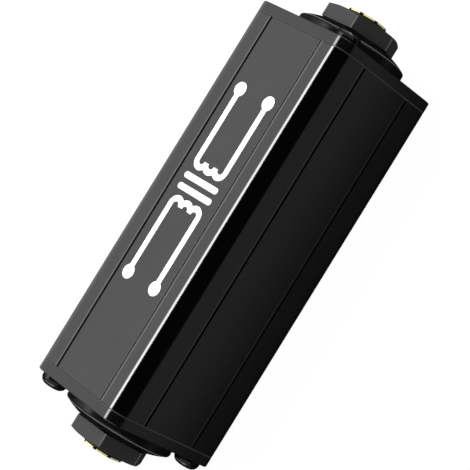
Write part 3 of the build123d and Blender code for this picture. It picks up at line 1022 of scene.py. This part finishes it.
@dataclass
class Marking:
    """White symbol of two coils and a core between them, printed on the top face.

    Attributes:
        face: height of the printed face.
        centre: place of the symbol's middle along X.
        stroke: width of its lines.
        hump_radius: radius of the coils' humps, to the middle of the line.
        humps: number of humps in each coil.
        reach: distance of the leads' dots from the middle.
        coil_place: distance of the coils from the middle.
        core_place: distance of the core's bars from the middle.
        core_half: half of the bars' length.
        dot_radius: radius of the dots.
        relief: height of the ink over the face.
        bite: how far its underside lies in the face.
        steps: points on each arc.
        joint_share: share of the way to the next hump at which an outer arc stops.
        first_angle: where a rounded end starts, in radians, so that its two lines stay apart.
    """

    face: float
    centre: float = 3.7 * MM
    stroke: float = 1.25 * MM
    hump_radius: float = 1.35 * MM
    humps: int = 3
    reach: float = 19.5 * MM
    coil_place: float = 4.75 * MM
    core_place: float = 1.15 * MM
    core_half: float = 4.9 * MM
    dot_radius: float = 1.45 * MM
    relief: float = 0.02 * MM
    bite: float = 0.02 * MM
    steps: int = 20
    joint_share: float = 0.97
    first_angle: float = 0.06

    def build(self) -> None:
        """Prints both coils and both bars as one piece."""
        skins = [self.strip(*lines, end.value) for end in End for lines in (self.coil(), self.bar())]
        ink = GrainedFinish("ink_white", (0.85, 0.85, 0.85), roughness=0.5)
        make_piece("top_marking", skins, ink)

    def strip(self, first: np.ndarray, second: np.ndarray, side: float) -> np.ndarray:
        """Lays a flat strip of ink between two edge lines, on one side of the middle.

        Args:
            first: one edge line, drawn on the side of positive X.
            second: the other.
            side: 1 for that side, and -1 for its mirror image.

        Returns:
            The strip's sections.
        """
        flip = np.array((side, 1.0))
        place = np.array((self.centre, 0.0))
        low, high = self.face - self.bite, self.face + self.relief
        return ruled_strip(first * flip + place, second * flip + place, low, high)

    def coil(self) -> tuple[np.ndarray, np.ndarray]:
        """Edge lines of one coil, on the side of positive X, with its two leads.

        Each hump is a half circle that bulges towards the middle. The outer edge's arcs
        stop where they come near their neighbours, and the inner edge's run the full half
        turn. Each lead ends in a dot: its half width there follows a circle.

        Returns:
            The outer and the inner edge line, with equally many points.
        """
        half = self.stroke / 2.0
        outer_radius = self.hump_radius + half
        inner_radius = self.hump_radius - half
        meet = 180.0 - math.degrees(math.asin(self.joint_share * self.hump_radius / outer_radius))
        outer, inner = [], []
        for index in range(self.humps):
            centre = (self.coil_place, self.hump_radius * (self.humps - 1 - 2 * index))
            start = 90.0 if index == 0 else meet
            end = 270.0 if index == self.humps - 1 else 360.0 - meet
            outer.append(arc(centre, outer_radius, start, end, self.steps))
            inner.append(arc(centre, inner_radius, 90.0, 270.0, self.steps))
        lead = self.hump_radius * self.humps
        turn = np.linspace(self.first_angle, math.pi - math.asin(half / self.dot_radius), self.steps)
        along = self.reach + self.dot_radius * np.cos(turn)
        width = self.dot_radius * np.sin(turn)
        high_outer = np.column_stack((along, lead + width))
        high_inner = np.column_stack((along, lead - width))
        below = np.array((1.0, -1.0))
        outer_line = np.concatenate((high_outer, *outer, high_outer[::-1] * below))
        inner_line = np.concatenate((high_inner, *inner, high_inner[::-1] * below))
        return outer_line, inner_line

    def bar(self) -> tuple[np.ndarray, np.ndarray]:
        """Edge lines of one core bar: straight sides, and half widths that follow a circle at the ends.

        Returns:
            The two edge lines, with equally many points.
        """
        half = self.stroke / 2.0
        turn = np.linspace(self.first_angle, math.pi / 2.0, self.steps)
        rise = self.core_half - half + half * np.cos(turn)
        width = half * np.sin(turn)
        up = np.concatenate((rise, -rise[::-1]))
        across = np.concatenate((width, width[::-1]))
        lines = [np.column_stack((self.core_place + side * across, up)) for side in (-1.0, 1.0)]
        return lines[0], lines[1]


@dataclass
class Interior:
    """The circuit board and the isolation transformer that stands on it.

    Attributes:
        plate_pitch: from one plate of the core stacks to the next.
        wire_pitch: from one turn of the windings to the next.
    """

    plate_pitch: float = 0.35 * MM
    wire_pitch: float = 0.16 * MM

    def build(self) -> None:
        """Dresses the board, core, bobbin, windings, tapes, pins and clamp."""
        dress(BoardFinish("board_green", (0.01, 0.12, 0.04), roughness=0.35), "circuit_board")
        dress(BandedFinish(
            "core_steel", (0.3, 0.3, 0.31), roughness=0.4, metallic=1.0, turn=(90.0, 0.0, 0.0),
            pitch=self.plate_pitch, gap_depth=0.03 * MM, gap_tone=0.5,
        ), "core_e_stack", "core_i_stack")
        dress(GrainedFinish("bobbin_plastic", (0.7, 0.67, 0.58), roughness=0.45), "transformer_bobbin")
        dress(BandedFinish(
            "winding_copper", (0.55, 0.2, 0.07), roughness=0.25, metallic=1.0, pitch=self.wire_pitch,
        ), "primary_winding", "secondary_winding")
        dress(GrainedFinish("tape_yellow", (0.75, 0.5, 0.06), roughness=0.25, patchiness=0.3),
              "layer_tape", "outer_tape")
        dress(DrawnFinish("pin_tin", (0.65, 0.65, 0.63), roughness=0.3, metallic=1.0, turn=(0.0, 90.0, 0.0)),
              "transformer_pins")
        dress(DrawnFinish("clamp_steel", (0.5, 0.51, 0.53), roughness=0.3, metallic=1.0), "core_clamp")


# Stage, lights and camera


@dataclass
class Softbox:
    """Soft light panel that spans a range of angles over the object, parallel to X.

    Attributes:
        name: the light's name.
        start: one edge's angle from straight up, in degrees.
        end: the other edge's angle.
        radiance: brightness of the panel.
        mirrored: share of its brightness that glossy surfaces mirror.
        length: its size along X, in metres.
        distance: how far its edges are from the object.
    """

    name: str
    start: float
    end: float
    radiance: float
    mirrored: float = 1.0
    length: float = 1.2
    distance: float = 1.2

    def build(self, centre: Vector) -> None:
        """Hangs the panel with both edges at their angles, facing the centre.

        Args:
            centre: middle of the object.
        """
        edges = [centre + self.distance * overhead(angle) for angle in (self.start, self.end)]
        size = (self.length, (edges[0] - edges[1]).length)
        place = (edges[0] + edges[1]) / 2
        area_light(self.name, place, centre, size, self.radiance * self.mirrored)
        if self.mirrored < 1.0:
            rest = self.radiance * (1.0 - self.mirrored)
            area_light(f"{self.name}_matt", place, centre, size, rest).visible_glossy = False


def overhead(angle: float) -> Vector:
    """Returns the direction at an angle in degrees from straight up, positive towards the camera."""
    turn = math.radians(angle)
    return Vector((0.0, -math.sin(turn), math.cos(turn)))


def stand(thing: bpy.types.Object, place: Vector, right: Vector, back: Vector) -> None:
    """Puts a lamp or camera into the scene, with its up direction at right angles to back and right.

    Args:
        thing: the lamp or camera.
        place: where it stands.
        right: direction of its right side.
        back: direction of its back.
    """
    up = back.cross(right).normalized()
    thing.matrix_world = Matrix((right, up, back)).transposed().to_4x4()
    thing.location = place
    bpy.context.scene.collection.objects.link(thing)


def area_light(name: str, place: Vector, target: Vector, size: Pair, radiance: float) -> bpy.types.Object:
    """Adds a rectangular light whose face has the given radiance.

    Args:
        name: the light's name.
        place: its centre.
        target: the point that it faces.
        size: its length along X, or along Y where it faces along X, and its width.
        radiance: brightness of its face.

    Returns:
        The new light.
    """
    light = bpy.data.lights.new(name, "AREA")
    light.shape = "RECTANGLE"
    light.size, light.size_y = size
    light.energy = radiance * math.pi * size[0] * size[1]
    lamp = bpy.data.objects.new(name, light)
    lamp.visible_camera = False
    back = (place - target).normalized()
    faces_end = abs(back.x) > LENGTHWAYS
    right = Vector((0.0, 1.0, 0.0)) if faces_end else Vector((1.0, 0.0, 0.0))
    stand(lamp, place, right, back)
    log.info("hung %s", name)
    return lamp


@dataclass
class Studio:
    """Pale floor, pale surroundings, soft lights and the camera of the photograph.

    Attributes:
        centre: middle of the object, which the camera faces.
        foot: Y of the side of the object that faces the camera, in metres.
        camera_angle: the camera's angle from straight up, in degrees.
        camera_roll: how far the object's long axis is turned in the picture, in degrees.
        camera_distance: from the centre to the camera, in metres.
        lens: focal length, in millimetres.
        sensor: width of the sensor that it is for.
        floor_size: half of the floor's side, in metres.
        floor_glow: brightness of the floor that no shadow takes away.
        floor_white: share of light that the floor scatters.
        mirror_steps: brightness of the floor as the object mirrors it, a glow painted in for reflections
            only, by distance in millimetres from the foot, towards the camera where positive; the dim steps
            by the foot are painted shade.
        eye_light: brightness of the room as the camera sees it.
        fill_light: brightness of the room on matt surfaces.
        mirror_light: brightness of the room in glossy surfaces.
        side_light: what the room's two ends along X add to that.
        side_reach: sideways shares of a direction at which that light starts and is full.
        end_distance: distance of the panels that face the two ends.
        end_size: their length and width.
        end_radiance: their brightness.
        softboxes: the panels over the object.
    """

    centre: Vector
    foot: float
    camera_angle: float = 43.9
    camera_roll: float = 58.42
    camera_distance: float = 0.3571
    lens: float = 146.5
    sensor: float = 36.0
    floor_size: float = 3.0
    floor_glow: float = 0.975
    floor_white: float = 0.05
    mirror_steps: tuple[Pair, ...] = (
        (-75.0, 0.5), (-45.0, 0.02), (0.0, 0.02), (3.0, 0.065), (20.0, 0.2), (32.0, 0.2), (45.0, 0.01),
    )
    eye_light: float = 1.0
    fill_light: float = 0.6
    mirror_light: float = 0.02
    side_light: float = 0.9
    side_reach: Pair = (0.25, 0.5)
    end_distance: float = 1.2
    end_size: Pair = (0.5, 0.35)
    end_radiance: float = 2.5
    softboxes: list[Softbox] = field(default_factory=lambda: [
        Softbox("low_softbox", start=-90.0, end=-64.5, radiance=1.35),
        Softbox("side_softbox", start=-64.0, end=-33.5, radiance=1.45),
        Softbox("top_softbox", start=-33.0, end=-15.0, radiance=15.5, mirrored=0.25),
    ])

    def build(self) -> None:
        """Builds everything round the object."""
        self.floor()
        self.surroundings()
        for softbox in self.softboxes:
            softbox.build(self.centre)
        for end in End:
            place = self.centre + Vector((self.end_distance * end.value, 0.0, 0.0))
            area_light(f"{end.name.lower()}_panel", place, self.centre, self.end_size, self.end_radiance)
        self.camera()

    def floor(self) -> None:
        """Lays the pale floor, mirrored only as soft bands and clear when looked at from below."""
        corners = np.array([(-1, -1, 0), (1, -1, 0), (1, 1, 0), (-1, 1, 0)]) * self.floor_size
        mesh = bpy.data.meshes.new("floor")
        mesh.from_pydata(corners.tolist(), [], [(0, 1, 2, 3)])
        floor = bpy.data.objects.new("floor", mesh)
        bpy.context.scene.collection.objects.link(floor)
        material = bpy.data.materials.new("pale_floor")
        graph = Graph.opened(material)
        white = (self.floor_white, self.floor_white, self.floor_white, 1.0)
        matt = graph.add("ShaderNodeBsdfDiffuse", {"Color": white}).outputs[0]
        glow = graph.add("ShaderNodeEmission", {"Strength": self.floor_glow}).outputs[0]
        pale = graph.add("ShaderNodeAddShader", {0: matt, 1: glow}).outputs[0]
        # painted reflection: glossy rays see glowing bands of floor, dim by the foot as painted shade
        bands = graph.add("ShaderNodeEmission", {"Strength": self.mirror_bands(graph)}).outputs[0]
        mirrored = graph.add("ShaderNodeLightPath").outputs["Is Glossy Ray"]
        both = graph.add("ShaderNodeMixShader", {0: mirrored, 1: pale, 2: bands}).outputs[0]
        below = graph.add("ShaderNodeNewGeometry").outputs["Backfacing"]
        clear = graph.add("ShaderNodeBsdfTransparent").outputs[0]
        seen = graph.add("ShaderNodeMixShader", {0: below, 1: both, 2: clear}).outputs[0]
        graph.add("ShaderNodeOutputMaterial", {"Surface": seen})
        mesh.materials.append(material)

    def mirror_bands(self, graph: Graph) -> Value:
        """Adds up smooth steps of brightness by distance from the foot.

        Args:
            graph: the graph to add to.

        Returns:
            The sum.
        """
        across = graph.split(graph.add("ShaderNodeTexCoord").outputs["Object"])["Y"]
        distance = graph.math("MULTIPLY", graph.math("SUBTRACT", self.foot, across), 1.0 / MM)
        total = self.mirror_steps[0][1]
        for (near, first), (far, second) in zip(self.mirror_steps, self.mirror_steps[1:]):
            if second != first:
                total = graph.math("ADD", total, graph.ramp(distance, near, far, 0.0, second - first))
        return total

    def surroundings(self) -> None:
        """Fills the room with pale light for the eye and dimmer light for the object."""
        world = bpy.data.worlds.new("pale_room")
        bpy.context.scene.world = world
        graph = Graph.opened(world)
        ray = graph.add("ShaderNodeLightPath").outputs
        seen = graph.math("MULTIPLY", ray["Is Camera Ray"], self.eye_light - self.mirror_light)
        matt = graph.math("MULTIPLY_ADD", ray["Is Diffuse Ray"], self.fill_light - self.mirror_light, seen)
        plain = graph.math("ADD", matt, self.mirror_light)
        sideways = graph.split(graph.add("ShaderNodeTexCoord").outputs["Generated"])["X"]
        ends = graph.ramp(graph.math("ABSOLUTE", sideways), *self.side_reach, 0.0, self.side_light)
        strength = graph.math("MULTIPLY_ADD", ray["Is Glossy Ray"], ends, plain)
        light = graph.add("ShaderNodeBackground", {"Strength": strength}).outputs[0]
        graph.add("ShaderNodeOutputWorld", {"Surface": light})

    def camera(self) -> None:
        """Sets the camera at the photograph's angle and distance."""
        back = overhead(self.camera_angle)
        across = overhead(self.camera_angle + 90.0)
        roll = math.radians(self.camera_roll)
        right = Vector((math.cos(roll), 0.0, 0.0)) + math.sin(roll) * across
        data = bpy.data.cameras.new("camera")
        data.lens = self.lens
        data.sensor_width = self.sensor
        camera = bpy.data.objects.new("camera", data)
        stand(camera, self.centre + self.camera_distance * back, right, back)
        bpy.context.scene.camera = camera


def main() -> None:
    """Dresses the nodes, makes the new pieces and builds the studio."""
    logging.basicConfig(level=logging.INFO, format="%(message)s")
    scene = bpy.context.scene
    scene.view_settings.view_transform = "Standard"
    low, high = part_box("housing")
    centre = (low + high) / 2
    cap_low, cap_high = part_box("output_end_cap")
    Casing(centre.z, cap_low.x, cap_high.x).build()
    for end in End:
        Socket(end, centre.z, cap_high.x).build()
    Interior().build()
    Marking(high.z).build()
    Studio(centre, low.y).build()


if __name__ == "__main__":
    main()
